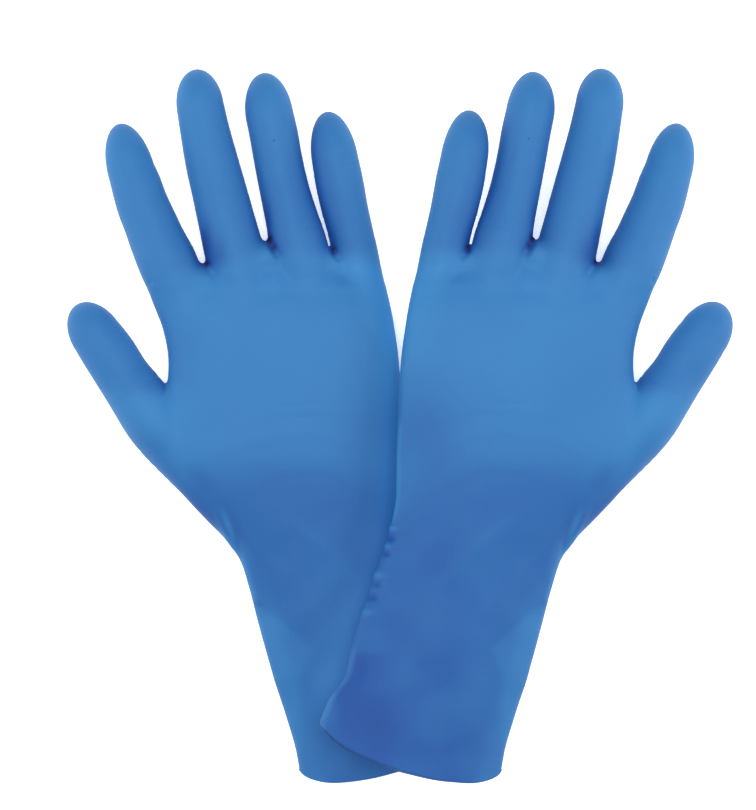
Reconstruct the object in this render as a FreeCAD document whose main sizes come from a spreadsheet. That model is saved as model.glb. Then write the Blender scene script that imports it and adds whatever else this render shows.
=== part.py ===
import FreeCAD, Part
import math
import os
import Sketcher

# A pair of long-cuff, dip-moulded rubber gloves lying palm side up, fingers towards +Y, thumbs
# outwards. Each glove is one thin skin with a rolled bead round its open end. The skin is split
# into zones where it bends: cuff, hand, two thumb zones and three zones of each finger. The hand
# zone is divided once more, without a slit, into its heel and its palm.
# The left glove lies flat on the floor plane Z = 0. The right one is its mirror image about X = 0,
# leaning on the left cuff.

GLOBAL_SIZES = [
    # alias, value (mm or degrees), meaning
    ("wall", 0.5, "skin thickness"),
    ("slit", 0.6, "clear slit between two zones of the skin"),
    ("sag", 0.6, "how far the underside is pressed flat on the floor"),
    ("wrist_y", -31.0, "line across which the hand bends against the cuff"),
    ("heel_y", 24.0, "line between the heel, with the thumb's root, and the palm"),
    ("bead_radius", 1.3, "half the thickness of the rolled bead"),
    ("rim_turn", 15.0, "turn of the cuff opening about Z"),
    ("rim_x", -5.0, "middle of the cuff opening"),
    ("rim_y", -129.0, "middle of the chord across the cuff opening"),
    ("rim_half_width", 38.4, "half the chord across the cuff opening"),
    ("rim_bulge", 14.0, "how far the opening's edge curves out past its chord"),
    ("root_end", 7.0, "radius of each digit's inner end, inside the hand"),
    ("lean_x", 124.0, "point on the line the right glove leans over, x"),
    ("lean_y", 40.0, "point on the line the right glove leans over, y"),
    ("lean_turn", 10.0, "turn of that line about Z, from +Y towards -X"),
    ("lean_angle", 8.0, "lean of the right glove onto the left cuff"),
    ("lean_back", 2.4, "the leaning glove's slide back towards the left one"),
    ("lean_lift", 0.6, "the leaning glove's lift, which sets its tips down on the floor"),
]

# Cross-sections of the trunk (cuff and hand without fingers), rim end first:
# middle x, middle y, half width, half thickness, turn about Z
TRUNK_NAMES = ("x", "y", "width", "thick", "turn")
TRUNK = [
    (1.0, -152.0, 40.5, 9.6, 15.0),
    (-5.0, -129.0, 38.4, 9.7, 15.0),
    (-14.9, -100.6, 36.3, 9.9, 15.0),
    (-22.4, -76.7, 35.6, 10.2, 15.0),
    (-28.7, -57.0, 35.2, 10.7, 14.0),
    (-36.0, -42.5, 37.6, 11.4, 9.0),
    (-46.6, -25.0, 46.0, 12.1, 3.0),
    (-49.0, 0.0, 48.5, 12.6, 0.0),
    (-48.2, 25.0, 47.7, 12.7, 0.0),
    (-52.2, 45.0, 48.9, 12.3, 0.0),
    (-55.0, 57.0, 49.0, 11.6, 0.0),
    (-52.5, 66.0, 43.0, 10.0, 0.0),
    (-45.5, 73.5, 30.0, 7.5, 0.0),
]

# Digits: root x, root y, turn about Z, length from root to tip; radii at the root, at the mid
# station and where the dome starts; the mid station; how far the root reaches into the hand;
# then the bend lines, as distances from the root, with the zone that starts at each
DIGIT_NAMES = ("x", "y", "turn", "length", "root", "mid", "tip", "station", "reach")
DIGITS = {
    "index": (-96.2, 67.7, 18.5, 60.5, 12.4, 11.2, 9.6, 25.0, 24.0),
    "middle": (-67.7, 69.7, 12.0, 79.3, 12.4, 11.4, 9.6, 32.0, 24.0),
    "ring": (-41.9, 76.7, 11.0, 70.2, 12.4, 10.7, 9.5, 20.0, 27.0),
    "little": (-18.6, 73.4, 10.8, 57.2, 9.9, 9.9, 9.3, 25.0, 24.0),
    "thumb": (-107.7, 12.2, 32.4, 44.2, 12.4, 11.7, 11.3, 20.0, 36.0),
}
BENDS = {
    "index": (("base", 4.0), ("mid", 27.0), ("tip", 43.0)),
    "middle": (("base", 5.0), ("mid", 36.0), ("tip", 58.0)),
    "ring": (("base", 4.0), ("mid", 31.0), ("tip", 51.0)),
    "little": (("base", 4.0), ("mid", 24.0), ("tip", 41.0)),
    "thumb": (("base", 3.0), ("tip", 22.0)),
}
FAR = 400.0  # beyond the gloves in every direction

doc = FreeCAD.newDocument("rubber_gloves")
sheet = doc.addObject("Spreadsheet::Sheet", "Sizes")
V = FreeCAD.Vector


def fill_sheet():
    rows = list(GLOBAL_SIZES)
    for i, section in enumerate(TRUNK):
        for name, value in zip(TRUNK_NAMES, section):
            rows.append((f"trunk{i}_{name}", value, f"trunk section {i}, {name}"))
    for digit, values in DIGITS.items():
        for name, value in zip(DIGIT_NAMES, values):
            rows.append((f"{digit}_{name}", value, f"{digit}, {name}"))
        for zone, place in BENDS[digit]:
            rows.append((f"{digit}_{zone}_bend", place, f"{digit}, start of its {zone} zone"))
    for number, (alias, value, meaning) in enumerate(rows, start=1):
        sheet.set(f"A{number}", meaning)
        sheet.set(f"B{number}", str(value))
        sheet.setAlias(f"B{number}", alias)
    doc.recompute()


def size(alias):
    return float(sheet.get(alias))


def add(kind, name, **settings):
    made = doc.addObject(kind, name)
    for key, value in settings.items():
        setattr(made, key, value)
    if hasattr(made, "Refine"):
        made.Refine = False  # merging the shallow faces of the thin skin breaks it
    return made


def bound(made, **expressions):
    for path, expression in expressions.items():
        made.setExpression(path.replace("_", "."), expression)
    return made


def cut(name, base, tool):
    return add("Part::Cut", name, Base=base, Tool=tool)


def common(name, base, tool):
    return add("Part::Common", name, Base=base, Tool=tool)


def wide_box(name, placement, y_from, y_to, z_from=-FAR):
    """A box without side limits, between two distances along the placement's own Y."""
    return add("Part::Box", name, Length=2 * FAR, Width=y_to - y_from, Height=FAR - z_from,
               Placement=placement.multiply(FreeCAD.Placement(V(-FAR, y_from, z_from),
                                                              FreeCAD.Rotation())))


def trunk_solid(name, inset):
    """Smooth tube through the trunk's oval sections, drawn in by inset."""
    sections = []
    for i in range(len(TRUNK)):
        oval = doc.addObject("Part::Ellipse", f"{name}_section{i}")
        oval.Placement.Rotation = FreeCAD.Rotation(size(f"trunk{i}_turn"), 0, 90)
        end = f" - {inset}" if i == len(TRUNK) - 1 else ""
        bound(oval,
              MajorRadius=f"Sizes.trunk{i}_width - {inset}",
              MinorRadius=f"Sizes.trunk{i}_thick - {inset}",
              Placement_Base_x=f"Sizes.trunk{i}_x",
              Placement_Base_y=f"Sizes.trunk{i}_y{end}",
              Placement_Base_z=f"Sizes.trunk{i}_thick - Sizes.sag")
        sections.append(oval)
    return add("Part::Loft", name, Sections=sections, Solid=True, Ruled=False)


def digit_frame(digit):
    """Local +Y runs out along the digit; it drops so that the underside stays on the floor."""
    root, tip = size(f"{digit}_root"), size(f"{digit}_tip")
    drop = math.degrees(math.atan2(root - tip, size(f"{digit}_length")))
    start = V(size(f"{digit}_x"), size(f"{digit}_y"), root - size("sag"))
    return FreeCAD.Placement(start, FreeCAD.Rotation(size(f"{digit}_turn"), 0, -drop))


def digit_solid(digit, name, inset):
    """A tapered, domed digit turned about its own axis, drawn in by inset."""
    body = doc.addObject("PartDesign::Body", name)
    plane = [f for f in body.Origin.OriginFeatures if f.Role == "XY_Plane"][0]
    sketch = body.newObject("Sketcher::SketchObject", name + "_profile")
    sketch.AttachmentSupport = [(plane, "")]
    sketch.MapMode = "FlatFace"
    dome = size(f"{digit}_tip")
    dome_at = size(f"{digit}_length") - dome
    station = size(f"{digit}_station")
    corners = [V(0, -size(f"{digit}_reach"), 0), V(size("root_end"), -size(f"{digit}_reach"), 0),
               V(size(f"{digit}_root"), 0, 0), V(size(f"{digit}_mid"), station, 0),
               V(dome, dome_at, 0)]
    for start, end in zip(corners, corners[1:]):
        sketch.addGeometry(Part.LineSegment(start, end))
    circle = Part.Circle(V(0, dome_at, 0), V(0, 0, 1), dome)
    arc = sketch.addGeometry(Part.ArcOfCircle(circle, 0, math.pi / 2))
    axis = sketch.addGeometry(Part.LineSegment(V(0, dome_at + dome, 0), corners[0]))
    rules = [("Coincident", line, 2, line + 1, 1) for line in range(axis)]
    rules += [("Coincident", axis, 2, 0, 1), ("PointOnObject", arc, 3, -2),
              ("PointOnObject", axis, 1, -2), ("PointOnObject", axis, 2, -2),
              ("Horizontal", 0), ("PointOnObject", 1, 2, -1)]
    for rule in rules:
        sketch.addConstraint(Sketcher.Constraint(*rule))
    measures = [
        ("DistanceX", -1, 1, 0, 2, f"Sizes.root_end - {inset}"),
        ("DistanceY", 0, 2, -1, 1, f"Sizes.{digit}_reach - {inset}"),
        ("DistanceX", -1, 1, 1, 2, f"Sizes.{digit}_root - {inset}"),
        ("DistanceX", -1, 1, 2, 2, f"Sizes.{digit}_mid - {inset}"),
        ("DistanceY", -1, 1, 2, 2, f"Sizes.{digit}_station"),
        ("DistanceX", -1, 1, 3, 2, f"Sizes.{digit}_tip - {inset}"),
        ("DistanceY", -1, 1, 3, 2, f"Sizes.{digit}_length - Sizes.{digit}_tip"),
        ("DistanceY", -1, 1, arc, 3, f"Sizes.{digit}_length - Sizes.{digit}_tip"),
    ]
    for kind, from_line, from_end, line, end, expression in measures:
        rule = Sketcher.Constraint(kind, from_line, from_end, line, end, 1.0)
        number = sketch.addConstraint(rule)
        sketch.setExpression(f"Constraints[{number}]", expression)
    doc.recompute()
    turned = body.newObject("PartDesign::Revolution", name + "_turned")
    turned.Profile = sketch
    turned.ReferenceAxis = (sketch, ["V_Axis"])
    turned.Angle = 360
    body.Placement = digit_frame(digit)
    return body


def rim_frame():
    return FreeCAD.Placement(V(size("rim_x"), size("rim_y"), 0),
                             FreeCAD.Rotation(size("rim_turn"), 0, 0))


def rim_radius():
    half, bulge = size("rim_half_width"), size("rim_bulge")
    return (half * half + bulge * bulge) / (2 * bulge)


def rim_cutter():
    """Everything beyond the curved edge of the cuff opening, where the bead begins."""
    beyond = wide_box("beyond_rim", rim_frame(), -60, 6)
    centre = FreeCAD.Placement(V(0, rim_radius() - size("rim_bulge"), -10), FreeCAD.Rotation())
    disc = add("Part::Cylinder", "rim_disc", Height=80, Placement=rim_frame().multiply(centre))
    bound(disc, Radius="(Sizes.rim_half_width ^ 2 + Sizes.rim_bulge ^ 2) / (2 * Sizes.rim_bulge)"
                       " - Sizes.bead_radius - 0.02")
    return cut("rim_cutter", beyond, disc)


def bead_round():
    """Round bead swept along the edge of the opening.

    The edge is the meeting of an oval tube with a curved cut, which no primitive covers.
    """
    radius = size("bead_radius")
    half = size("rim_half_width") + 0.1
    top = 2 * size("trunk1_thick") - size("sag") - size("wall") / 2
    bottom = radius - 0.1
    middle, rise = (top + bottom) / 2, (top - bottom) / 2
    stations = 24
    points = []
    for i in range(stations):
        angle = 2 * math.pi * i / stations
        across = half * math.cos(angle)
        out = math.sqrt(rim_radius() ** 2 - across ** 2) - rim_radius() + size("rim_bulge")
        points.append(rim_frame().multVec(V(across, -out, middle + rise * math.sin(angle))))
    curve = Part.BSplineCurve()
    curve.interpolate(Points=points, PeriodicFlag=True)
    span = curve.LastParameter - curve.FirstParameter
    rings = []
    for i in range(stations):
        at = curve.FirstParameter + span * i / stations
        rings.append(Part.Wire(Part.makeCircle(radius, curve.value(at), curve.tangent(at)[0])))
    bead = doc.addObject("Part::Feature", "bead_round")
    bead.Shape = Part.makeLoft(rings, True, False, True)
    return bead


def make_left_glove():
    floor = FreeCAD.Placement()
    half_slit = size("slit") / 2
    above_floor = wide_box("above_floor", floor, -FAR, FAR, 0)
    above_wall = wide_box("above_wall", floor, -FAR, FAR, size("wall"))
    heel_side = wide_box("heel_side", floor, size("wrist_y") + half_slit, size("heel_y"))
    palm_side = wide_box("palm_side", floor, size("heel_y"), FAR)
    cuff_side = wide_box("cuff_side", floor, -FAR, size("wrist_y") - half_slit)

    trunk_outer = trunk_solid("trunk_outer", "0")
    trunk_inner = trunk_solid("trunk_inner", "Sizes.wall")
    nodes, roots, hollows = [], [], []
    for digit, bends in BENDS.items():
        outer = digit_solid(digit, f"{digit}_outer", "0")
        inner = digit_solid(digit, f"{digit}_inner", "Sizes.wall")
        skin = cut(f"{digit}_skin", common(f"{digit}_out", outer, above_floor),
                   common(f"{digit}_in", inner, above_wall))
        places = [place for _, place in bends] + [FAR]
        for (zone, place), after in zip(bends, places[1:]):
            stretch = wide_box(f"{digit}_{zone}_stretch", digit_frame(digit),
                               place + half_slit, after - half_slit)
            nodes.append(common(f"left_{digit}_{zone}", skin, stretch))
        root = wide_box(f"{digit}_root_stretch", digit_frame(digit), -FAR, places[0] - half_slit)
        roots.append(common(f"{digit}_root", outer, root))
        hollows.append(inner)

    hand_outer = add("Part::MultiFuse", "hand_outer", Shapes=[trunk_outer] + roots)
    hand_inner = add("Part::MultiFuse", "hand_inner", Shapes=[trunk_inner] + hollows)
    hand_skin = cut("hand_skin", common("hand_out", hand_outer, above_floor),
                    common("hand_in", hand_inner, above_wall))
    heel = common("left_heel", hand_skin, heel_side)
    palm = common("left_palm", hand_skin, palm_side)

    bead = common("left_cuff_bead", bead_round(), above_floor)
    trunk_skin = cut("trunk_skin", common("trunk_out", trunk_outer, above_floor),
                     common("trunk_in", trunk_inner, above_wall))
    cuff = cut("left_cuff", common("wrist_side_skin", trunk_skin, cuff_side), rim_cutter())
    return [cuff, bead, heel, palm] + nodes


def make_right_glove(left_nodes):
    """The same glove mirrored about X = 0 and leant over onto the left cuff."""
    turn = math.radians(size("lean_turn"))
    line = V(-math.sin(turn), math.cos(turn), 0)
    lean = FreeCAD.Placement(V(), FreeCAD.Rotation(line, size("lean_angle")),
                             V(size("lean_x"), size("lean_y"), 0))
    lean.move(V(-size("lean_back"), 0, size("lean_lift")))
    nodes = []
    for left in left_nodes:
        name = left.Name.replace("left_", "right_")
        right = add("Part::Mirroring", name, Source=left, Normal=V(1, 0, 0))
        right.Placement = lean
        nodes.append(right)
    return nodes


def check(nodes):
    for item in doc.Objects:
        if "Invalid" in item.State or "Error" in item.State:
            raise RuntimeError(f"{item.Name} did not compute: {item.State}")
    for node in nodes:
        shape = node.Shape
        if shape.isNull() or not shape.isValid() or len(shape.Solids) != 1:
            raise RuntimeError(f"{node.Name}: null, invalid or not one solid")


fill_sheet()
left_glove = make_left_glove()
doc.recompute()
right_glove = make_right_glove(left_glove)
doc.recompute()
all_nodes = left_glove + right_glove
for node in all_nodes:
    node.Label = node.Name
check(all_nodes)
os.makedirs("parts", exist_ok=True)
for node in all_nodes:
    node.Shape.exportStep(f"parts/{node.Label}.step")
    box = node.Shape.BoundBox
    print(f"{node.Label:22s} {node.Shape.Volume:9.1f} mm3  x {box.XMin:7.1f} {box.XMax:7.1f}"
          f"  y {box.YMin:7.1f} {box.YMax:7.1f}  z {box.ZMin:6.2f} {box.ZMax:6.2f}")
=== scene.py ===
import math

import bpy
import numpy as np
from mathutils import Matrix, Vector


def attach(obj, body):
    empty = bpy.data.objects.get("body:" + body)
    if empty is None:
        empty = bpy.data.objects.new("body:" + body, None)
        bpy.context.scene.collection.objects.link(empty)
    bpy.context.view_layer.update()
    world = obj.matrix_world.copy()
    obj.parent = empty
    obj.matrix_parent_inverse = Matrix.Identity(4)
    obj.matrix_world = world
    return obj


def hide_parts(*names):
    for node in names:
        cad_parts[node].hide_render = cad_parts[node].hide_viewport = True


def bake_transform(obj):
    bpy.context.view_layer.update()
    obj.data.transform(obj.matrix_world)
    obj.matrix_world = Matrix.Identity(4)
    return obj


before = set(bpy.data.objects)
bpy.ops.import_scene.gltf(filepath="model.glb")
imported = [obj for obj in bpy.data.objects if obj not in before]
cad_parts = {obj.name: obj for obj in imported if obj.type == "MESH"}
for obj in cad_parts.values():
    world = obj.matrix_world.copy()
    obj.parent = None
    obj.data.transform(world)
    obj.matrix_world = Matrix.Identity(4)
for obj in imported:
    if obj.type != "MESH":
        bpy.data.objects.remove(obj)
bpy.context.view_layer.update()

MM = 0.001

# ---------------------------------------------------------------------------------------------
# Shape of the left glove, in millimetres, palm up, fingers towards +Y. The right glove is its
# mirror image, leant over onto the left cuff as in the CAD frame.

# Trunk (cuff and hand): y, thumb-side edge x, little-finger-side edge x, half thickness
TRUNK = [
    (-160, -36.0, 36.0, 9.6),
    (-145, -40.6, 35.0, 9.6),
    (-133, -43.0, 33.8, 9.7),
    (-120, -46.8, 32.2, 9.8),
    (-111, -49.7, 28.4, 9.8),
    (-104, -51.9, 23.4, 9.9),
    (-92, -55.4, 20.2, 10.0),
    (-80, -58.7, 16.8, 10.1),
    (-66, -62.3, 12.0, 10.4),
    (-55, -66.0, 8.2, 10.8),
    (-47, -71.6, 5.4, 11.2),
    (-39, -79.4, 3.3, 11.6),
    (-30, -87.8, 1.5, 12.0),
    (-22, -94.8, 1.0, 12.2),
    (-12, -100.7, 1.0, 12.5),
    (0, -101.0, 0.9, 12.6),
    (18, -95.8, 0.4, 12.7),
    (31, -95.7, -0.7, 12.7),
    (40, -97.6, -2.0, 12.6),
    (48, -100.0, -3.4, 12.2),
    (54, -101.3, -5.0, 11.4),
    (59, -100.5, -7.0, 10.3),
    (62.5, -97.0, -10.0, 8.2),
    (65.5, -91.0, -17.0, 5.0),
]
# Digit centre lines: x, y, radius, from inside the hand to the start of the domed tip; then the
# x, y of the very tip
DIGITS = {
    "index": ([(-84, 40, 8.5), (-90, 54, 11.2), (-95.9, 68, 12.2), (-100.1, 77.1, 11.5),
               (-102.9, 84.0, 11.1), (-105.9, 91.0, 10.8), (-109.0, 100.5, 10.3),
               (-110.7, 105.2, 9.8)], (-116.1, 125.1)),
    "middle": ([(-61, 42, 8.5), (-64.5, 55, 11.4), (-67.7, 69.7, 12.3), (-71.2, 84, 11.8),
                (-74.6, 97.8, 11.3), (-77.1, 107.5, 11.0), (-80.4, 122.2, 10.2),
                (-82.3, 132.0, 9.8)], (-84.3, 147.6)),
    "ring": ([(-34.5, 45, 8.5), (-38, 60, 11.2), (-42.2, 76.7, 11.8), (-44.3, 85, 11.0),
              (-47.2, 96.3, 10.3), (-50.3, 111.0, 10.0), (-52.0, 120.8, 10.0),
              (-53.7, 128.6, 9.9)], (-56.4, 146.1)),
    "little": ([(-12.8, 44, 7.5), (-15.6, 58, 9.0), (-18.4, 72.0, 9.4), (-20.3, 80.5, 9.3),
                (-22.7, 90.2, 9.6), (-24.7, 100.0, 9.9), (-26.6, 110.0, 9.6)], (-30.1, 130.1)),
    "thumb": ([(-84, -21, 8.0), (-94, -8, 11.2), (-101, 1.5, 12.2), (-107.9, 12.2, 12.0),
               (-114.1, 20.8, 11.2), (-119.3, 29.1, 11.2), (-122.1, 33.2, 11.0),
               (-124.8, 37.0, 10.6)], (-133.7, 50.2)),
}
# Webs of skin between the roots of the fingers: x, y, z, radius
WEBS = [(-80.6, 59.8, 12.6, 7.2), (-55.0, 68.9, 13.0, 7.4), (-28.4, 66.4, 11.0, 6.8),
        (-52.5, 59.5, 13.6, 7.6), (-29.5, 57.5, 11.6, 7.4)]
# Where the skin is divided: x, y on each digit's axis at its root, turn of the axis about Z in
# degrees, then the distances along it at which its pieces start
SEAMS = {
    "index": (-96.2, 67.7, 18.5, (("base", 3.0), ("mid", 17.0), ("tip", 35.0))),
    "middle": (-67.7, 69.7, 12.0, (("base", 4.0), ("mid", 22.0), ("tip", 48.0))),
    "ring": (-41.9, 76.7, 11.0, (("base", 3.0), ("mid", 19.0), ("tip", 42.0))),
    "little": (-18.6, 73.4, 10.8, (("base", 3.0), ("mid", 15.0), ("tip", 33.0))),
    "thumb": (-107.7, 12.2, 32.4, (("base", 2.0), ("tip", 14.0))),
}
WRIST_SEAM = -10.0       # the palm piece starts here
WALL = 0.45
FLAT = 0.6               # how far the underside is pressed flat
CELL = 0.8
GRID_LOW = (-142.0, -158.0, -3.0)
GRID_HIGH = (42.0, 152.0, 29.0)
# Fillets where parts of the glove meet
DIGIT_FILLET = 0.9       # between two digits
WEB_FILLET = 2.6         # webs to fingers
HAND_FILLET = 3.2        # fingers to hand
THUMB_FILLET = 2.4       # thumb to hand
FLOOR_FILLET = 1.0       # round the pressed underside

# Cuff opening: middle of its chord, turn, half chord, bulge past the chord, and how boxy its
# curve is on the thumb side and on the little-finger side
RIM_X, RIM_Y, RIM_TURN, RIM_HALF, RIM_BULGE = -5.0, -129.6, 15.0, 38.9, 12.7
RIM_POWERS = (2.6, 1.8)
RIM_TOP = -100           # the rim lies below this row
RIM_STEPS = 200
# Rolled bead on it
BEAD_RADIUS = 0.85
BEAD_PROUD = 0.12        # how far its crown stands past the skin
BEAD_SIDES = 14
# Lean of the right glove, as in the CAD frame
LEAN_POINT = (124.0, 40.0, 0.0)
LEAN_TURN, LEAN_ANGLE = 10.0, 8.0
LEAN_SHIFT = (-2.4, 0.0, 1.25)
MIRROR_WIDTH = 1.012     # the right glove is stretched this little bit wider


def smooth_table(xs, ys, x):
    """Cubic curve through the given points, with slopes from their neighbours."""
    xs, ys = np.asarray(xs, float), np.asarray(ys, float)
    slopes = np.gradient(ys, xs)
    x = np.clip(x, xs[0], xs[-1])
    i = np.clip(np.searchsorted(xs, x) - 1, 0, len(xs) - 2)
    step = xs[i + 1] - xs[i]
    t = (x - xs[i]) / step
    return ((1 + 2 * t) * (1 - t) ** 2 * ys[i] + t * (1 - t) ** 2 * step * slopes[i]
            + t * t * (3 - 2 * t) * ys[i + 1] + t * t * (t - 1) * step * slopes[i + 1])


def dense_line(points, count):
    """The digit's centre line and radius, resampled smoothly."""
    points = np.asarray(points, float)
    along = np.concatenate([[0], np.cumsum(np.hypot(*np.diff(points[:, :2], axis=0).T))])
    at = np.linspace(0, along[-1], count)
    return np.stack([smooth_table(along, points[:, k], at) for k in range(3)], axis=1)


def digit_line(name):
    """Centre line and radius of the whole digit; its tip is half an egg."""
    points, tip = DIGITS[name]
    body = dense_line(points, 22)
    start, wide = body[-1, :2], body[-1, 2]
    way = np.array(tip) - start
    long = np.hypot(*way)
    at = np.linspace(0, 1, 12)[1:] * (long - wide * wide / long)
    radius = wide * np.sqrt(1 - at ** 2 / (long ** 2 - wide ** 2))
    dome = np.column_stack([start + np.outer(at / long, way), radius])
    return np.concatenate([body, dome])


def smoothstep(low, high, value):
    t = np.clip((value - low) / (high - low), 0, 1)
    return t * t * (3 - 2 * t)


def patch(points, x, y, across, along):
    """Soft round patch, 1 in its middle."""
    return np.exp(-((points[:, 0] - x) / across) ** 2 - ((points[:, 1] - y) / along) ** 2)


def round_min(a, b, k):
    """The lower of two fields, with a fillet of size k where they meet."""
    h = np.maximum(k - np.abs(a - b), 0) / k
    return np.minimum(a, b) - h * h * k / 4


def trunk_field(x, y, z):
    """Field of the cuff and hand: boxy rings along Y."""
    ys, thumb, little, thick = np.array(TRUNK, float).T
    row = y[0, :, 0]
    left, right = smooth_table(ys, thumb, row), smooth_table(ys, little, row)
    half, b = (right - left) / 2, np.maximum(smooth_table(ys, thick, row), 0.5)
    mid = (right + left) / 2
    shape = (1, -1, 1)
    u = np.abs(x - mid.reshape(shape)) / half.reshape(shape)
    v = np.abs(z - (b - FLAT).reshape(shape)) / b.reshape(shape)
    power = (2.15 + 0.75 * smoothstep(-45, -5, row)).reshape(shape)     # the hand is flatter
    ring = (u ** power + v ** power + 1e-9) ** (1 / power)
    field = (ring - 1) * b.reshape(shape)
    field = np.where(y > ys[-1], field + (y - ys[-1]), field)
    slope = np.sqrt(sum(g * g for g in np.gradient(field, CELL)))
    return field / np.maximum(slope, 0.15)


def digit_field(line, x, y, z):
    """Field of a digit: cones with round ends along its centre line."""
    best = np.full(x.shape, 1e3)
    for (ax, ay, ar), (bx, by, br) in zip(line, line[1:]):
        az, bz = ar - FLAT, br - FLAT
        d = np.array([bx - ax, by - ay, bz - az])
        t = ((x - ax) * d[0] + (y - ay) * d[1] + (z - az) * d[2]) / (d @ d)
        t = np.clip(t, 0, 1)
        gap = np.sqrt((x - ax - t * d[0]) ** 2 + (y - ay - t * d[1]) ** 2
                      + (z - az - t * d[2]) ** 2) - (ar + t * (br - ar))
        best = np.minimum(best, gap)
    return best


def glove_field():
    """Distance-like field of the closed glove, negative inside, on a regular grid."""
    low = np.array(GRID_LOW)
    axes = [np.arange(a, b, CELL) for a, b in zip(GRID_LOW, GRID_HIGH)]
    x, y, z = np.meshgrid(*axes, indexing="ij")
    trunk = trunk_field(x, y, z)
    fingers = np.full(x.shape, 50.0)
    thumb = np.full(x.shape, 50.0)
    reach = 18      # a digit's field is worked out this far round its centre line
    for name in DIGITS:
        line = digit_line(name)
        part = tuple(slice(*np.searchsorted(axes[k], [line[:, k].min() - reach,
                                                      line[:, k].max() + reach]))
                     for k in range(2))
        field = digit_field(line, x[part], y[part], z[part])
        target = thumb if name == "thumb" else fingers
        target[part] = round_min(target[part], field, DIGIT_FILLET)
    for wx, wy, wz, radius in WEBS:
        ball = np.sqrt((x - wx) ** 2 + (y - wy) ** 2 + (z - wz) ** 2) - radius
        fingers = round_min(fingers, ball, WEB_FILLET)
    field = round_min(trunk, fingers, HAND_FILLET)
    field = round_min(field, thumb, THUMB_FILLET)
    field = -round_min(-field, z, FLOOR_FILLET)      # pressed flat on the floor
    return field, low


def sample(field, low, points):
    """Field at the given points, between grid values."""
    g = (points - low) / CELL
    i = np.clip(np.floor(g).astype(int), 0, np.array(field.shape) - 2)
    f = g - i
    total = 0
    for dx in (0, 1):
        for dy in (0, 1):
            for dz in (0, 1):
                weight = (np.where(dx, f[:, 0], 1 - f[:, 0]) * np.where(dy, f[:, 1], 1 - f[:, 1])
                          * np.where(dz, f[:, 2], 1 - f[:, 2]))
                total = total + weight * field[i[:, 0] + dx, i[:, 1] + dy, i[:, 2] + dz]
    return total


def slope_of(field, low, points, step=0.6):
    """Gradient of the field at the given points."""
    out = np.empty_like(points)
    for k in range(3):
        shift = np.zeros(3)
        shift[k] = step
        out[:, k] = (sample(field, low, points + shift) - sample(field, low, points - shift))
    out /= 2 * step
    return out


def surface_net(field, low):
    """Quad mesh of the zero level.

    It has a point in each crossed cell and a quad round each crossed edge.
    """
    inside = field < 0
    offsets = [(dx, dy, dz) for dx in (0, 1) for dy in (0, 1) for dz in (0, 1)]
    corner = [inside[dx:field.shape[0] - 1 + dx, dy:field.shape[1] - 1 + dy,
                     dz:field.shape[2] - 1 + dz] for dx, dy, dz in offsets]
    count = sum(c.astype(np.int8) for c in corner)
    crossed = (count > 0) & (count < 8)
    cells = np.argwhere(crossed)
    number = np.full(crossed.shape, -1, int)
    number[tuple(cells.T)] = np.arange(len(cells))
    total = np.zeros((len(cells), 3))
    hits = np.zeros(len(cells))
    for a in offsets:
        for k in range(3):
            if a[k]:
                continue
            b = list(a)
            b[k] = 1
            fa = field[tuple((cells + a).T)]
            fb = field[tuple((cells + b).T)]
            cross = (fa < 0) != (fb < 0)
            t = np.where(cross, fa / np.where(cross, fa - fb, 1), 0)
            where = np.array(a, float) + np.outer(t, np.eye(3)[k])
            total += where * cross[:, None]
            hits += cross
    verts = low + CELL * (cells + total / hits[:, None])
    quads = []
    for k in range(3):
        u, v = (k + 1) % 3, (k + 2) % 3
        first = [slice(None)] * 3
        second = [slice(None)] * 3
        first[k], second[k] = slice(0, -1), slice(1, None)
        a, b = inside[tuple(first)], inside[tuple(second)]
        edges = np.argwhere(a != b)
        edges = edges[(edges[:, u] > 0) & (edges[:, v] > 0)]
        ring = []
        for du, dv in ((0, 0), (-1, 0), (-1, -1), (0, -1)):
            cell = edges.copy()
            cell[:, u] += du
            cell[:, v] += dv
            ring.append(number[tuple(cell.T)])
        ring = np.stack(ring, axis=1)
        outward = a[tuple(edges.T)]
        ring[~outward] = ring[~outward][:, ::-1]
        quads.append(ring)
    quads = np.concatenate(quads)
    return verts, quads[(quads >= 0).all(axis=1)]


def neighbour_mean(verts, quads):
    """Mean of the points each point shares a quad edge with."""
    total = np.zeros_like(verts)
    hits = np.zeros(len(verts))
    for k in range(4):
        a, b = quads[:, k], quads[:, (k + 1) % 4]
        for p, q in ((a, b), (b, a)):
            for c in range(3):
                total[:, c] += np.bincount(p, verts[q, c], len(verts))
            hits += np.bincount(p, minlength=len(verts))
    return total / np.maximum(hits, 1)[:, None]


def settle(verts, quads, field, low, rounds=6):
    """Evens out the mesh and pulls it back onto the zero level."""
    for _ in range(rounds):
        verts = 0.4 * verts + 0.6 * neighbour_mean(verts, quads)
        for _ in range(2):
            slope = slope_of(field, low, verts)
            size = np.maximum((slope ** 2).sum(axis=1), 0.05)
            verts = verts - (sample(field, low, verts) / size)[:, None] * slope
    return verts


def vertex_normals(verts, quads):
    cross = np.cross(verts[quads[:, 2]] - verts[quads[:, 0]],
                     verts[quads[:, 3]] - verts[quads[:, 1]])
    out = np.zeros_like(verts)
    for k in range(4):
        for c in range(3):
            out[:, c] += np.bincount(quads[:, k], cross[:, c], len(verts))
    return out / np.maximum(np.linalg.norm(out, axis=1), 1e-9)[:, None]


# ---------------------------------------------------------------------------------------------
# Dividing the skin


def rim_local(points):
    """Across and outward coordinates in the frame of the cuff opening."""
    t = math.radians(RIM_TURN)
    dx, dy = points[:, 0] - RIM_X, points[:, 1] - RIM_Y
    return dx * math.cos(t) + dy * math.sin(t), dx * math.sin(t) - dy * math.cos(t)


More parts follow.
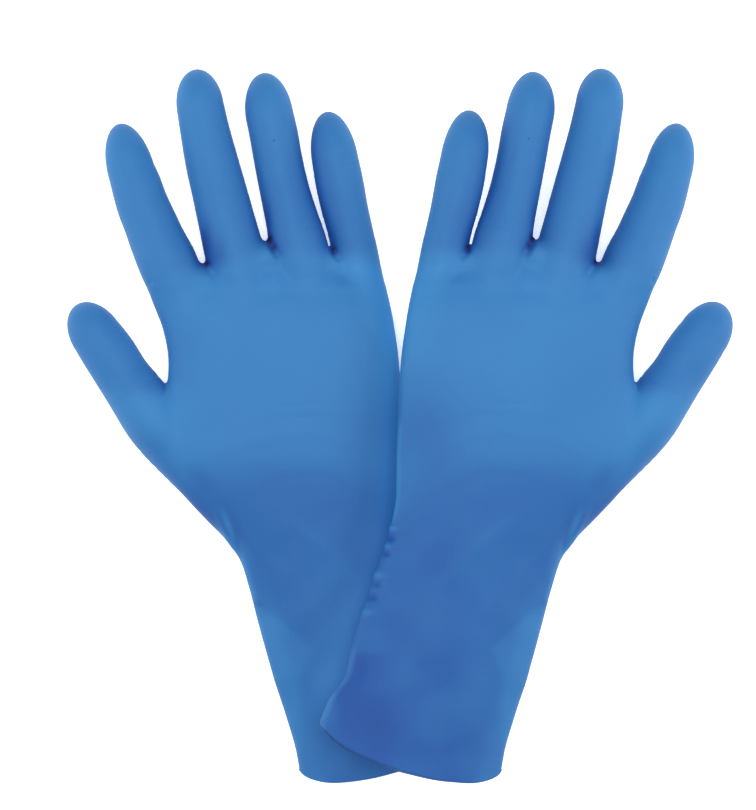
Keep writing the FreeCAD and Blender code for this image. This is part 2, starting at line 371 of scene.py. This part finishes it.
def rim_gap(points):
    """Distance past the edge of the opening, and its direction across and outward."""
    across, out = rim_local(points)
    power = np.where(across < 0, *RIM_POWERS)
    u, v = np.abs(across) / RIM_HALF, np.maximum(out, 0.05) / RIM_BULGE
    slope = np.stack([np.sign(across) * power * u ** (power - 1) / RIM_HALF, 2 * v / RIM_BULGE])
    size = np.maximum(np.hypot(*slope), 0.02)
    return (u ** power + v * v - 1) / size, slope / size, out


def digit_axes(name):
    """Root of the digit, and its directions along and across."""
    x, y, turn, _ = SEAMS[name]
    t = math.radians(turn)
    along, across = np.array([-math.sin(t), math.cos(t)]), np.array([math.cos(t), math.sin(t)])
    return np.array([x, y]), along, across


def label_vertices(verts):
    """Piece number of each vertex (-1 past the cuff's edge), and the list of pieces."""
    pieces = ["cuff", "palm"]
    label = np.where(verts[:, 1] < WRIST_SEAM, 0, 1)
    for name, (_, _, _, starts) in SEAMS.items():
        root, along, side = digit_axes(name)
        d = verts[:, :2] - root
        s, u = d @ along, d @ side
        line = digit_line(name)
        near = np.hypot(verts[:, None, 0] - line[None, ::2, 0],
                        verts[:, None, 1] - line[None, ::2, 1]) - line[None, ::2, 2]
        close = near.min(axis=1) < 1.5
        for zone, start in starts:
            pieces.append(f"{name}_{zone}")
            label[close & (s > start) & (np.abs(u) < 20)] = len(pieces) - 1
    gap, _, out = rim_gap(verts)
    label[(gap > 0) & (out > 0)] = -1
    return label, pieces


def slide_to_seams(verts, quads, label, pieces):
    """Moves the vertices beside each cut along the surface onto the cut itself."""
    quad_label = np.max(label[quads], axis=1)
    quad_label[(label[quads] == -1).any(axis=1)] = -1
    near = 2        # only vertices this close to a cut move onto it
    seen = np.full((len(verts), 2), -9)
    for k in range(4):
        np.maximum.at(seen[:, 0], quads[:, k], quad_label)
        np.maximum.at(seen[:, 1], quads[:, k], -quad_label)
    mixed = seen[:, 0] != -seen[:, 1]
    verts = verts.copy()
    wrist = mixed & (np.abs(verts[:, 1] - WRIST_SEAM) < near)
    verts[wrist, 1] = WRIST_SEAM
    for name, (_, _, _, starts) in SEAMS.items():
        root, along, _ = digit_axes(name)
        s = (verts[:, :2] - root) @ along
        for zone, start in starts:
            own = pieces.index(f"{name}_{zone}")
            pick = mixed & (np.abs(s - start) < near) & ((seen[:, 0] == own) | (label == own))
            verts[pick, :2] += np.outer(start - s[pick], along)
    t = math.radians(RIM_TURN)
    gap, _, out = rim_gap(verts)
    rim = mixed & (np.abs(gap) < near) & (out > -1.5) & (verts[:, 1] < RIM_TOP)
    for _ in range(3):
        gap, way, _ = rim_gap(verts[rim])
        step = -gap * way
        verts[rim, 0] += step[0] * math.cos(t) + step[1] * math.sin(t)
        verts[rim, 1] += step[0] * math.sin(t) - step[1] * math.cos(t)
    return verts, quad_label


# ---------------------------------------------------------------------------------------------
# Folds and creases: x, y points, width, height (negative is a groove), on the palm side

CREASES = [
    # crotch folds
    ([(-80.0, 66), (-77.6, 63.5), (-75, 61)], 1.5, -0.7),
    ([(-54.0, 76), (-51.8, 72.5), (-49.4, 69)], 1.5, -1.3),
    ([(-57.4, 77.5), (-54.2, 72.5), (-48.5, 62)], 1.7, 0.5),
    ([(-27.6, 73), (-26.0, 70.5), (-24.2, 68)], 1.4, -1.2),
    ([(-30.2, 74.0), (-27.8, 70), (-23.5, 63)], 1.5, 0.45),
    ([(-103.6, 60), (-101.8, 58.8)], 0.9, -0.5),
    # long soft folds where the hand narrows into the cuff, thumb side
    ([(-77, -31), (-71.5, -43), (-67.5, -56)], 1.7, 0.7),
    ([(-73, -33), (-68, -44), (-64.5, -58)], 1.6, -0.6),
    ([(-65, -38), (-60, -52), (-56.5, -66)], 2.2, 0.35),
    ([(-59.5, -73), (-57, -75.5)], 1.3, -0.45),
    # faint wrinkles
    ([(-52, 9), (-43, 8), (-33, 9.5)], 0.9, -0.2),
    ([(-48, 5), (-38, 3.5), (-28, 5.5)], 0.9, -0.2),
    ([(-78, 99), (-73, 97.5), (-69, 98)], 1.0, -0.16),
    ([(-47, 116), (-43.5, 108)], 1.0, -0.2),
    ([(-53, 102), (-50, 98), (-48.5, 92)], 1.1, -0.22),
    # ripples across the wrist
    ([(-46, -38), (-28, -52), (-14, -70)], 3.2, 0.3),
    ([(-60, -52), (-44, -62), (-30, -84)], 3.4, 0.25),
]
# Puckers along the little-finger edge of the upper cuff, where it is drawn over the lower one:
# x, y, width, height
PUCKERS = [
    (3.8, -42.5, 1.6, 0.8), (5.0, -46.6, 1.3, -1.0), (6.1, -49.6, 1.2, 0.7),
    (7.1, -52.8, 1.2, -0.8), (9.6, -61.5, 2.0, 0.9), (10.8, -65.2, 1.2, -0.8),
    (12.6, -70.5, 1.6, -1.2), (14.4, -77.0, 2.0, 0.7),
]
# The palm's edge above them stands out a little: height, then x, y, extent across and along
PALM_EDGE = (1.4, (4.0, -18.0, 6.5, 17.0))


def add_puckers(verts, normals):
    side = smoothstep(-0.35, 0.2, normals[:, 2])
    bulge, place = PALM_EDGE
    shift = bulge * patch(verts, *place)
    for x, y, width, height in PUCKERS:
        shift += height * patch(verts, x - 0.8, y, 1.5 * width, width)
    return verts + normals * (shift * side)[:, None]


def polyline_gap(points, line):
    """Distance in plan from each point to the line, and how far along it (0 to 1)."""
    line = np.asarray(line, float)
    lengths = np.hypot(*np.diff(line, axis=0).T)
    total, done = lengths.sum(), 0.0
    best = np.full(len(points), 1e3)
    where = np.zeros(len(points))
    for a, b, length in zip(line, line[1:], lengths):
        d = b - a
        t = np.clip(((points - a) @ d) / (d @ d), 0, 1)
        gap = np.hypot(*(points - a - np.outer(t, d)).T)
        better = gap < best
        best = np.where(better, gap, best)
        where = np.where(better, (done + t * length) / total, where)
        done += length
    return best, where


def undulation(verts):
    """Slow uneven swell of the loose cuff skin."""
    x, y = verts[:, 0], verts[:, 1]
    swell = (np.sin(0.16 * x + 0.07 * y + 0.6) * np.sin(0.05 * x - 0.13 * y)
             + 0.6 * np.sin(0.27 * x - 0.11 * y + 1.1) * np.sin(0.19 * y + 0.4))
    return 0.32 * swell * np.clip((-20 - y) / 35, 0, 1)


def add_creases(verts, normals):
    """Swell, folds and grooves on the side that faces up."""
    top = np.clip(normals[:, 2] * 2.5, 0, 1)
    shift = undulation(verts)
    for line, width, height in CREASES:
        gap, along = polyline_gap(verts[:, :2], line)
        fade = np.clip(np.minimum(along, 1 - along) * 5, 0.15, 1)
        shift += height * np.exp(-(gap / width) ** 2) * fade
    return verts + normals * (shift * top)[:, None]


# ---------------------------------------------------------------------------------------------
# Tone of the skin: 0 is the light hand, 1 the deep wrist and cuff, 2 painted shade in a fold;
# below 0 the skin glows with painted light. Much of the tone is painted highlight and shade

# Painted shade in small folds by the finger crotches: x, y, extent across and along, amount
FOLD_PAINTED_SHADE = [
    (-79.6, 67.0, 1.7, 1.5, 1.1), (-80.0, 76.0, 2.8, 8.0, 0.5), (-75.0, 71.0, 4.2, 7.0, 0.4),
    (-53.4, 76.6, 1.3, 2.2, 1.5), (-51.8, 73.5, 1.3, 1.8, 1.2), (-54.5, 85.0, 2.2, 8.0, 0.35),
    (-27.2, 72.4, 1.3, 1.9, 1.4), (-49.6, 72.0, 3.4, 4.0, 0.3),
]
# Soft deeper and paler patches on both gloves, and on one only
PATCHES = [
    (-7, -5, 17, 24, 0.25), (-45, -24, 34, 9, 0.06), (-40, 4, 34, 18, 0.06),
    (-101, 6, 14, 12, -0.16),
]
SIDE_PATCHES = {
    # painted light: the left cuff paler where the upper glove shades it
    "left": [(-26, -108, 14, 30, -0.25)],
    "right": [
        (10, -119, 15, 13, 0.2), (-8, -98, 4, 3, 0.1), (-18, -133, 18, 4, 0.1),
        (-22, -114, 13, 6, -0.08), (29, -117, 3, 8, -0.25), (18, -98, 4, 6, 0.12),
        (-9, -5, 16, 22, 0.16),
    ],
}
# Paler and deeper streaks, mostly painted highlight and shade on folds: line, half width, amount
FOLD_LIGHT_AND_SHADE_STREAKS = [
    ([(-73.6, -33.0), (-70.4, -41.0), (-67.4, -50)], 1.4, -0.45),
    ([(-70.0, -34), (-66.6, -43), (-64.5, -50)], 1.8, 0.14),
    ([(-88, -14), (-82, -21), (-76, -28)], 4.0, 0.18),
    ([(-66, -46), (-63.0, -54), (-61.5, -62)], 2.0, -0.12),
    ([(-60.5, -71.0), (-55.5, -75.5)], 1.5, 0.2),
    ([(-48, -35.5), (-36, -45), (-24, -56)], 3.6, -0.1),
    ([(-60, -46), (-50, -56), (-41, -72)], 3.4, -0.07),
    ([(-32, -56), (-22, -60), (-13, -64)], 3.2, -0.07),
    ([(-40, -124), (-26, -128), (-12, -136)], 3.0, 0.07),
    ([(-86, -20), (-62, -8), (-38, -4), (-4, -14)], 2.0, 0.06),
    ([(-66, -30), (-52, -21), (-34, -18), (-2, -33)], 1.8, 0.08),
    ([(-78, -6), (-50, 4), (-30, 5), (-6, -1)], 1.8, 0.05),
]
# Crotch heights across the hand (x, then y): painted shade on facing finger sides starts there
CROTCH_LINE = ([-110, -80.5, -68, -54.9, -41, -28.2, -10], [64, 66.8, 70, 76.6, 73, 73.4, 73])
# Inner limit of the painted highlight strip along the cuff's thumb side: y, then x
CUFF_HIGHLIGHT_STRIP = ([-131, -104, -92, -76.6], [-41, -40.9, -36, -52.6])
BASE_TONE, WRIST_TONE = 0.14, 0.5        # tone of the hand, and what the wrist adds
# painted shade on the facing sides of the digits
CROTCH_PAINTED_SHADE, CROTCH_REACH = 1.15, 8.0    # facing sides of digits, fading over this gap
# painted light on the palm's little-finger edge, lifting the shade beside the other glove
EDGE_PAINTED_LIGHT = {"left": 0.5, "right": 0.3}  # how much lighter the palm's little-finger edge is


def between_digits(verts):
    """Painted shade: near 1 on the sides of a digit that face another one closely."""
    gaps = []
    for name in DIGITS:
        gap = np.full(len(verts), 99.0)
        for cx, cy, r in digit_line(name):
            away = np.sqrt((verts[:, 0] - cx) ** 2 + (verts[:, 1] - cy) ** 2
                           + (verts[:, 2] - r + FLAT) ** 2) - r
            gap = np.minimum(gap, away)
        gaps.append(gap)
    second = np.sort(np.array(gaps), axis=0)[1]
    above = verts[:, 1] - np.interp(verts[:, 0], *CROTCH_LINE)
    return np.exp(-np.maximum(second, 0) / CROTCH_REACH) * smoothstep(-6, 2, above)


def hand_and_cuff_tone_and_light(side, x, y, inward, far_in):
    """Wrist tone, painted highlights and shade by the edges; inward, far_in: gaps to the two
    edges.
    """
    wrist = smoothstep(18, -15, y + 17 + 0.006 * (x + 50) ** 2)
    cuff_edge_highlight = smoothstep(14, 4, inward) * smoothstep(-60, -78, y)
    strip_end = np.interp(y, *CUFF_HIGHLIGHT_STRIP)
    cuff_strip_highlight = smoothstep(2.6, -2.6, x - strip_end) * smoothstep(-74, -80, y)
    heel_edge = smoothstep(9, 1, inward) * smoothstep(4, -16, y) * smoothstep(-44, -34, y)
    wrist_edge_highlight = smoothstep(3.5, 0.5, inward) * smoothstep(-38, -45, y) * smoothstep(-80, -66, y)
    tips = smoothstep(95, 125, y)
    fingers = smoothstep(70, 85, y)
    painted_edge_light = np.clip(1 - far_in / 15, 0, 1) * smoothstep(5, 45, y) * smoothstep(76, 58, y)
    index_edge_shade = np.exp(-np.abs(inward) / 4) * smoothstep(14, 22, y) * smoothstep(52, 42, y)
    thumb = (inward < 0) * smoothstep(10, 18, y) * smoothstep(56, 44, y)
    thumb_side_shade = thumb * (0.13 + 0.55 * np.exp(-np.abs(inward) / 8))
    mottle = (np.sin(x / 6.1 + 0.9 + np.sin(y / 8.3))
              * np.sin(y / 7.4 + 0.6 * np.sin(x / 9.7)) * smoothstep(-25, -50, y))
    # painted highlights: cuff edge and strip, wrist edge; painted shade: index edge, thumb side
    return (BASE_TONE + WRIST_TONE * wrist - 0.2 * cuff_edge_highlight - 0.2 * cuff_strip_highlight
            + 0.2 * heel_edge - 0.45 * wrist_edge_highlight - 0.1 * tips + 0.03 * fingers
            - EDGE_PAINTED_LIGHT[side] * painted_edge_light + 0.3 * index_edge_shade + thumb_side_shade + 0.055 * mottle)


def upper_glove_tone_and_light(verts, far_in):
    """What the upper glove has besides: two layers look deeper, painted highlights on its drawn
    edge.
    """
    x, y = verts[:, 0], verts[:, 1]
    doubled = smoothstep(-92, -94.5, y) * smoothstep(-2, 14, x)
    over_cuff = smoothstep(-30, -60, y) * smoothstep(-34, -16, x)
    cuff_strip_highlight = (smoothstep(2.8, 0.8, far_in) * smoothstep(-90, -95, y)
                  * smoothstep(-133, -124, y))
    hand_edge_highlight = smoothstep(1.5, 0.4, far_in) * smoothstep(6, -4, y) * smoothstep(-42, -38, y)
    tone = 0.16 * doubled + 0.12 * over_cuff - 0.42 * cuff_strip_highlight - 0.4 * hand_edge_highlight
    # painted highlight on the raised puckers, painted shade in their dips
    for px, py, width, height in PUCKERS:
        tone -= 0.4 * np.sign(height) * patch(verts, px - 0.6, py, width, 0.8 * width)
    return tone


# Colour tone of the skin, together with the painted highlights and painted shade laid on it
def tone_and_painted_light(side, verts):
    x, y = verts[:, 0], verts[:, 1]
    rows, thumb_edge, little_edge, _ = np.array(TRUNK, float).T
    inward = x - smooth_table(rows, thumb_edge, y)
    far_in = smooth_table(rows, little_edge, y) - x
    tone = hand_and_cuff_tone_and_light(side, x, y, inward, far_in)
    tone += CROTCH_PAINTED_SHADE * between_digits(verts)
    for *place, amount in PATCHES + FOLD_PAINTED_SHADE + SIDE_PATCHES[side]:
        tone += amount * patch(verts, *place)
    for line, width, amount in FOLD_LIGHT_AND_SHADE_STREAKS:
        gap, along = polyline_gap(verts[:, :2], line)
        tone += amount * np.exp(-(gap / width) ** 2) * np.sin(np.pi * along)
    if side == "right":
        tone += upper_glove_tone_and_light(verts, far_in)
    return np.clip(tone, -1, 2)


# ---------------------------------------------------------------------------------------------
# Pieces


def right_side(points):
    """Left-glove points taken to the right glove, in millimetres."""
    t = math.radians(LEAN_TURN)
    line = Vector((-math.sin(t), math.cos(t), 0))
    turn = np.array(Matrix.Rotation(math.radians(LEAN_ANGLE), 3, line))
    moved = (points * [-MIRROR_WIDTH, 1, 1] - LEAN_POINT) @ turn.T
    return moved + LEAN_POINT + LEAN_SHIFT


def on_side(side, points):
    return points if side == "left" else right_side(points)


def open_edges(faces, count):
    """Edges that only one face has, as ordered in that face."""
    edges = np.concatenate([faces[:, [k, (k + 1) % 4]] for k in range(4)])
    key = edges.min(axis=1) * count + edges.max(axis=1)
    _, first, times = np.unique(key, return_index=True, return_counts=True)
    return edges[first[times == 1]]


def make_mesh(name, verts, faces, normals, material, tone):
    """Mesh object with smooth faces; its points, in millimetres, each have a tone."""
    mesh = bpy.data.meshes.new(name)
    mesh.from_pydata((verts * MM).tolist(), [], faces.tolist())
    mesh.update()
    mesh.polygons.foreach_set("use_smooth", np.ones(len(mesh.polygons), bool))
    if normals is not None:
        mesh.normals_split_custom_set_from_vertices(normals.tolist())
    mesh.attributes.new("tone", "FLOAT", "POINT").data.foreach_set("value", tone)
    mesh.materials.append(material)
    made = bpy.data.objects.new(name, mesh)
    bpy.context.scene.collection.objects.link(made)
    return made


def skin_piece(side, piece, verts, normals, quads, tone, material):
    """One zone of the skin: outside, inside and the cut edges between them."""
    used, local = np.unique(quads, return_inverse=True)
    faces = local.reshape(quads.shape)
    outer, out_normals = verts[used], normals[used]
    inner = outer - WALL * out_normals
    count = len(used)
    start, end = open_edges(faces, count).T
    sides = np.stack([end, start, start + count, end + count], axis=1)
    faces = np.concatenate([faces, faces[:, ::-1] + count, sides])
    points = on_side(side, np.concatenate([outer, inner]))
    if side == "right":
        faces = faces[:, ::-1]
        zero = right_side(np.zeros((1, 3)))
        out_normals = right_side(out_normals) - zero
    split = np.concatenate([out_normals, -out_normals])
    tone = np.concatenate([tone[used], tone[used]])
    return make_mesh(f"{side}_{piece}_skin", points, faces, split, material, tone)


def rim_loop(verts, normals, quads, quad_label):
    """Smooth closed line along the cuff's cut edge, and the skin's outward direction on it."""
    ends = np.unique(open_edges(quads[quad_label == 0], len(verts)))
    ends = ends[verts[ends, 1] < RIM_TOP]
    points = np.hstack([verts[ends], normals[ends]])
    across, _ = rim_local(points)
    middle = points[:, 2].max() / 2
    angle = np.arctan2((points[:, 2] - middle) / middle, across / RIM_HALF)
    order = np.argsort(angle)
    angle, points = angle[order], points[order]
    at = (np.arange(RIM_STEPS) + 0.5) / RIM_STEPS * 2 * math.pi - math.pi
    wide = np.concatenate([angle - 2 * math.pi, angle, angle + 2 * math.pi])
    loop = np.stack([np.interp(at, wide, np.tile(points[:, k], 3)) for k in range(6)], axis=1)
    for _ in range(6):
        loop = (np.roll(loop, 1, axis=0) + 2 * loop + np.roll(loop, -1, axis=0)) / 4
    return loop[:, :3], loop[:, 3:]


def bead_piece(side, loop, outward, material):
    """Rolled bead: a round swept along the cut edge."""
    ahead = np.roll(loop, -1, axis=0) - np.roll(loop, 1, axis=0)
    ahead /= np.linalg.norm(ahead, axis=1)[:, None]
    outward = outward - (outward * ahead).sum(axis=1)[:, None] * ahead
    outward /= np.linalg.norm(outward, axis=1)[:, None]
    loop = loop - (BEAD_RADIUS - BEAD_PROUD) * outward
    first = np.cross(outward, ahead)
    verts, steps, ring = [], len(loop), BEAD_SIDES
    for k in range(ring):
        a = 2 * math.pi * k / ring
        swell = BEAD_RADIUS * (1 + 0.06 * np.sin(np.arange(steps) * 0.37))
        verts.append(loop + (first * math.cos(a) + outward * math.sin(a)) * swell[:, None])
    verts = np.stack(verts, axis=1).reshape(-1, 3)
    i, k = np.meshgrid(np.arange(steps), np.arange(ring), indexing="ij")
    i, k = i.ravel(), k.ravel()
    nxt, up = (i + 1) % steps, (k + 1) % ring
    faces = np.stack([i * ring + k, nxt * ring + k, nxt * ring + up, i * ring + up], axis=1)
    points = on_side(side, verts)
    centre = points.reshape(steps, ring, 3)[0].mean(axis=0)
    a, b, c = points[faces[0, 0]], points[faces[0, 1]], points[faces[0, 2]]
    if np.dot(np.cross(b - a, c - a), a - centre) < 0:
        faces = faces[:, ::-1]
    return make_mesh(f"{side}_bead_roll", points, faces, None, material, tone_and_painted_light(side, verts))


def build_glove(side, skin, bead, verts, normals, quads, quad_label, pieces, loop):
    """All pieces of one glove; the palm piece and the bead are tied to their bodies in the frame.
    """
    tone = tone_and_painted_light(side, verts)
    if side == "right":
        verts = add_puckers(verts, normals)
        normals = vertex_normals(verts, quads)
    for number, piece in enumerate(pieces):
        own = quads[quad_label == number]
        made = skin_piece(side, piece, verts, normals, own, tone, skin)
        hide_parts(f"{side}_{piece}", *([f"{side}_heel"] if piece == "palm" else []))
        if piece == "cuff":
            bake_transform(made)
        elif piece == "palm":
            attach(made, f"{side}_palm")
        else:
            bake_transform(made)
    roll = bead_piece(side, *loop, bead)
    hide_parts(f"{side}_cuff_bead")
    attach(roll, f"{side}_cuff")


# ---------------------------------------------------------------------------------------------
# Materials

# The skin's blues at tone 0 and 1, and the navy of painted shade at tone 2
LIGHT_BLUE = (0.0215, 0.122, 0.290, 1)
DEEP_BLUE = (0.0065, 0.047, 0.194, 1)
PAINTED_SHADE_NAVY = (0.005, 0.006, 0.05, 1)
PALE_FLOOR = (0.93, 0.93, 0.93, 1)
WHITE = (1, 1, 1, 1)


def node(tree, kind, inputs=None, **settings):
    """New node, with values for its sockets by name or number and its other settings."""
    made = tree.nodes.new(kind)
    for key, value in settings.items():
        setattr(made, key, value)
    for key, value in (inputs or {}).items():
        made.inputs[key].default_value = value
    return made


def rubber(name):
    """Matte dipped rubber: blues mixed by the skin's tone, soft blotches, a fine grain and a
    painted glow.
    """
    material = bpy.data.materials.new(name)
    material.use_nodes = True
    tree = material.node_tree
    link = tree.links.new
    surface = tree.nodes["Principled BSDF"]
    surface.inputs["Roughness"].default_value = 0.6
    surface.inputs["Specular IOR Level"].default_value = 0.16

    # tone, made uneven by the blotches and the grain
    where = node(tree, "ShaderNodeNewGeometry")
    large = node(tree, "ShaderNodeTexNoise", {"Scale": 26.0, "Detail": 3.0, "Roughness": 0.55})
    fine = node(tree, "ShaderNodeTexNoise", {"Scale": 1100.0, "Detail": 2.0, "Roughness": 0.6})
    blotch = node(tree, "ShaderNodeMapRange", {"To Min": -0.12, "To Max": 0.12})
    grain = node(tree, "ShaderNodeMapRange", {"To Min": -0.1, "To Max": 0.1})
    both = node(tree, "ShaderNodeMath", operation="ADD")
    total = node(tree, "ShaderNodeMath", operation="ADD")
    tone = node(tree, "ShaderNodeAttribute", attribute_name="tone")
    for number, (noise, spread) in enumerate(((large, blotch), (fine, grain))):
        link(where.outputs["Position"], noise.inputs["Vector"])
        link(noise.outputs["Fac"], spread.inputs["Value"])
        link(spread.outputs["Result"], both.inputs[number])
    link(both.outputs["Value"], total.inputs[0])
    link(tone.outputs["Fac"], total.inputs[1])

    # colour: light to deep blue, then towards the navy of painted shade past tone 1
    pale = node(tree, "ShaderNodeMix", data_type="RGBA")
    pale.inputs["A"].default_value = LIGHT_BLUE
    pale.inputs["B"].default_value = DEEP_BLUE
    painted_shade_factor = node(tree, "ShaderNodeMath", {1: 1.0}, operation="SUBTRACT", use_clamp=True)
    mix = node(tree, "ShaderNodeMix", data_type="RGBA")
    mix.inputs["B"].default_value = PAINTED_SHADE_NAVY
    link(total.outputs["Value"], pale.inputs["Factor"])
    link(total.outputs["Value"], painted_shade_factor.inputs[0])
    link(pale.outputs["Result"], mix.inputs["A"])
    link(painted_shade_factor.outputs["Value"], mix.inputs["Factor"])
    link(mix.outputs["Result"], surface.inputs["Base Color"])

    # painted light: emission lifts the shade in hollows and overlaps, and tone below 0 glows too
    hidden = node(tree, "ShaderNodeAmbientOcclusion", {"Distance": 0.06}, samples=8)
    painted_fill_light = node(tree, "ShaderNodeMapRange",
                {"From Min": 1.0, "From Max": 0.0, "To Min": 0.0, "To Max": 0.7})
    painted_glow_from_tone = node(tree, "ShaderNodeMapRange", {"From Min": 0.0, "From Max": -1.0})
    painted_light_strength = node(tree, "ShaderNodeMath", operation="ADD")
    link(hidden.outputs["AO"], painted_fill_light.inputs["Value"])
    link(tone.outputs["Fac"], painted_glow_from_tone.inputs["Value"])
    link(painted_fill_light.outputs["Result"], painted_light_strength.inputs[0])
    link(painted_glow_from_tone.outputs["Result"], painted_light_strength.inputs[1])
    link(mix.outputs["Result"], surface.inputs["Emission Color"])
    link(painted_light_strength.outputs["Value"], surface.inputs["Emission Strength"])

    bump = node(tree, "ShaderNodeBump", {"Strength": 0.2, "Distance": 0.0002})
    link(fine.outputs["Fac"], bump.inputs["Height"])
    link(bump.outputs["Normal"], surface.inputs["Normal"])
    return material


def floor_material():
    material = bpy.data.materials.new("pale_floor")
    material.use_nodes = True
    surface = material.node_tree.nodes["Principled BSDF"]
    surface.inputs["Base Color"].default_value = PALE_FLOOR
    surface.inputs["Roughness"].default_value = 0.9
    surface.inputs["Emission Color"].default_value = WHITE
    surface.inputs["Emission Strength"].default_value = 0.48      # as on a light table
    return material


# ---------------------------------------------------------------------------------------------
# Stage

# Lights: name, place, size in metres, watts
LIGHTS = [
    ("overhead", (0.0, 0.15, 1.3), 0.9, 16.0),
    ("left_side", (-1.1, 0.1, 0.6), 0.7, 9.5),
    ("right_side", (1.1, 0.1, 0.6), 0.7, 10.5),
]
SENSOR = 36.0
VIEW_WIDTH, VIEW_DISTANCE = 0.3119, 4.0     # metres across the frame, at the gloves' mid height
VIEW_CENTRE = (-0.0089, 0.0088, 0.012)


def build_stage():
    bpy.ops.mesh.primitive_plane_add(size=4.0, location=(0, 0, -0.0002))
    floor = bpy.context.object
    floor.name = "floor"
    floor.data.materials.append(floor_material())
    world = bpy.data.worlds.new("studio")
    bpy.context.scene.world = world
    world.use_nodes = True
    background = world.node_tree.nodes["Background"]
    background.inputs["Color"].default_value = WHITE
    background.inputs["Strength"].default_value = 0.55
    for name, place, size, power in LIGHTS:
        light = bpy.data.lights.new(name, "AREA")
        light.size = size
        light.energy = power
        made = bpy.data.objects.new(name, light)
        made.location = place
        made.rotation_euler = (-Vector(place)).to_track_quat("-Z", "Y").to_euler()
        made.visible_camera = False
        bpy.context.scene.collection.objects.link(made)


def build_camera():
    camera = bpy.data.cameras.new("camera")
    camera.sensor_fit = "HORIZONTAL"
    camera.sensor_width = SENSOR
    camera.lens = SENSOR * VIEW_DISTANCE / VIEW_WIDTH
    camera.clip_end = 10
    made = bpy.data.objects.new("camera", camera)
    made.location = Vector(VIEW_CENTRE) + Vector((0, 0, VIEW_DISTANCE))
    bpy.context.scene.collection.objects.link(made)
    bpy.context.scene.camera = made


def build():
    field, low = glove_field()
    verts, quads = surface_net(field, low)
    verts = settle(verts, quads, field, low)
    label, pieces = label_vertices(verts)
    verts, quad_label = slide_to_seams(verts, quads, label, pieces)
    normals = vertex_normals(verts, quads)
    verts = add_creases(verts, normals)
    normals = vertex_normals(verts, quads)
    loop = rim_loop(verts, normals, quads, quad_label)
    skin = rubber("blue_rubber")
    bead = rubber("blue_rubber_bead")
    for side in ("left", "right"):
        build_glove(side, skin, bead, verts, normals, quads, quad_label, pieces, loop)
    build_stage()
    build_camera()
    scene = bpy.context.scene
    scene.view_settings.view_transform = "Standard"
    scene.view_settings.look = "None"


build()
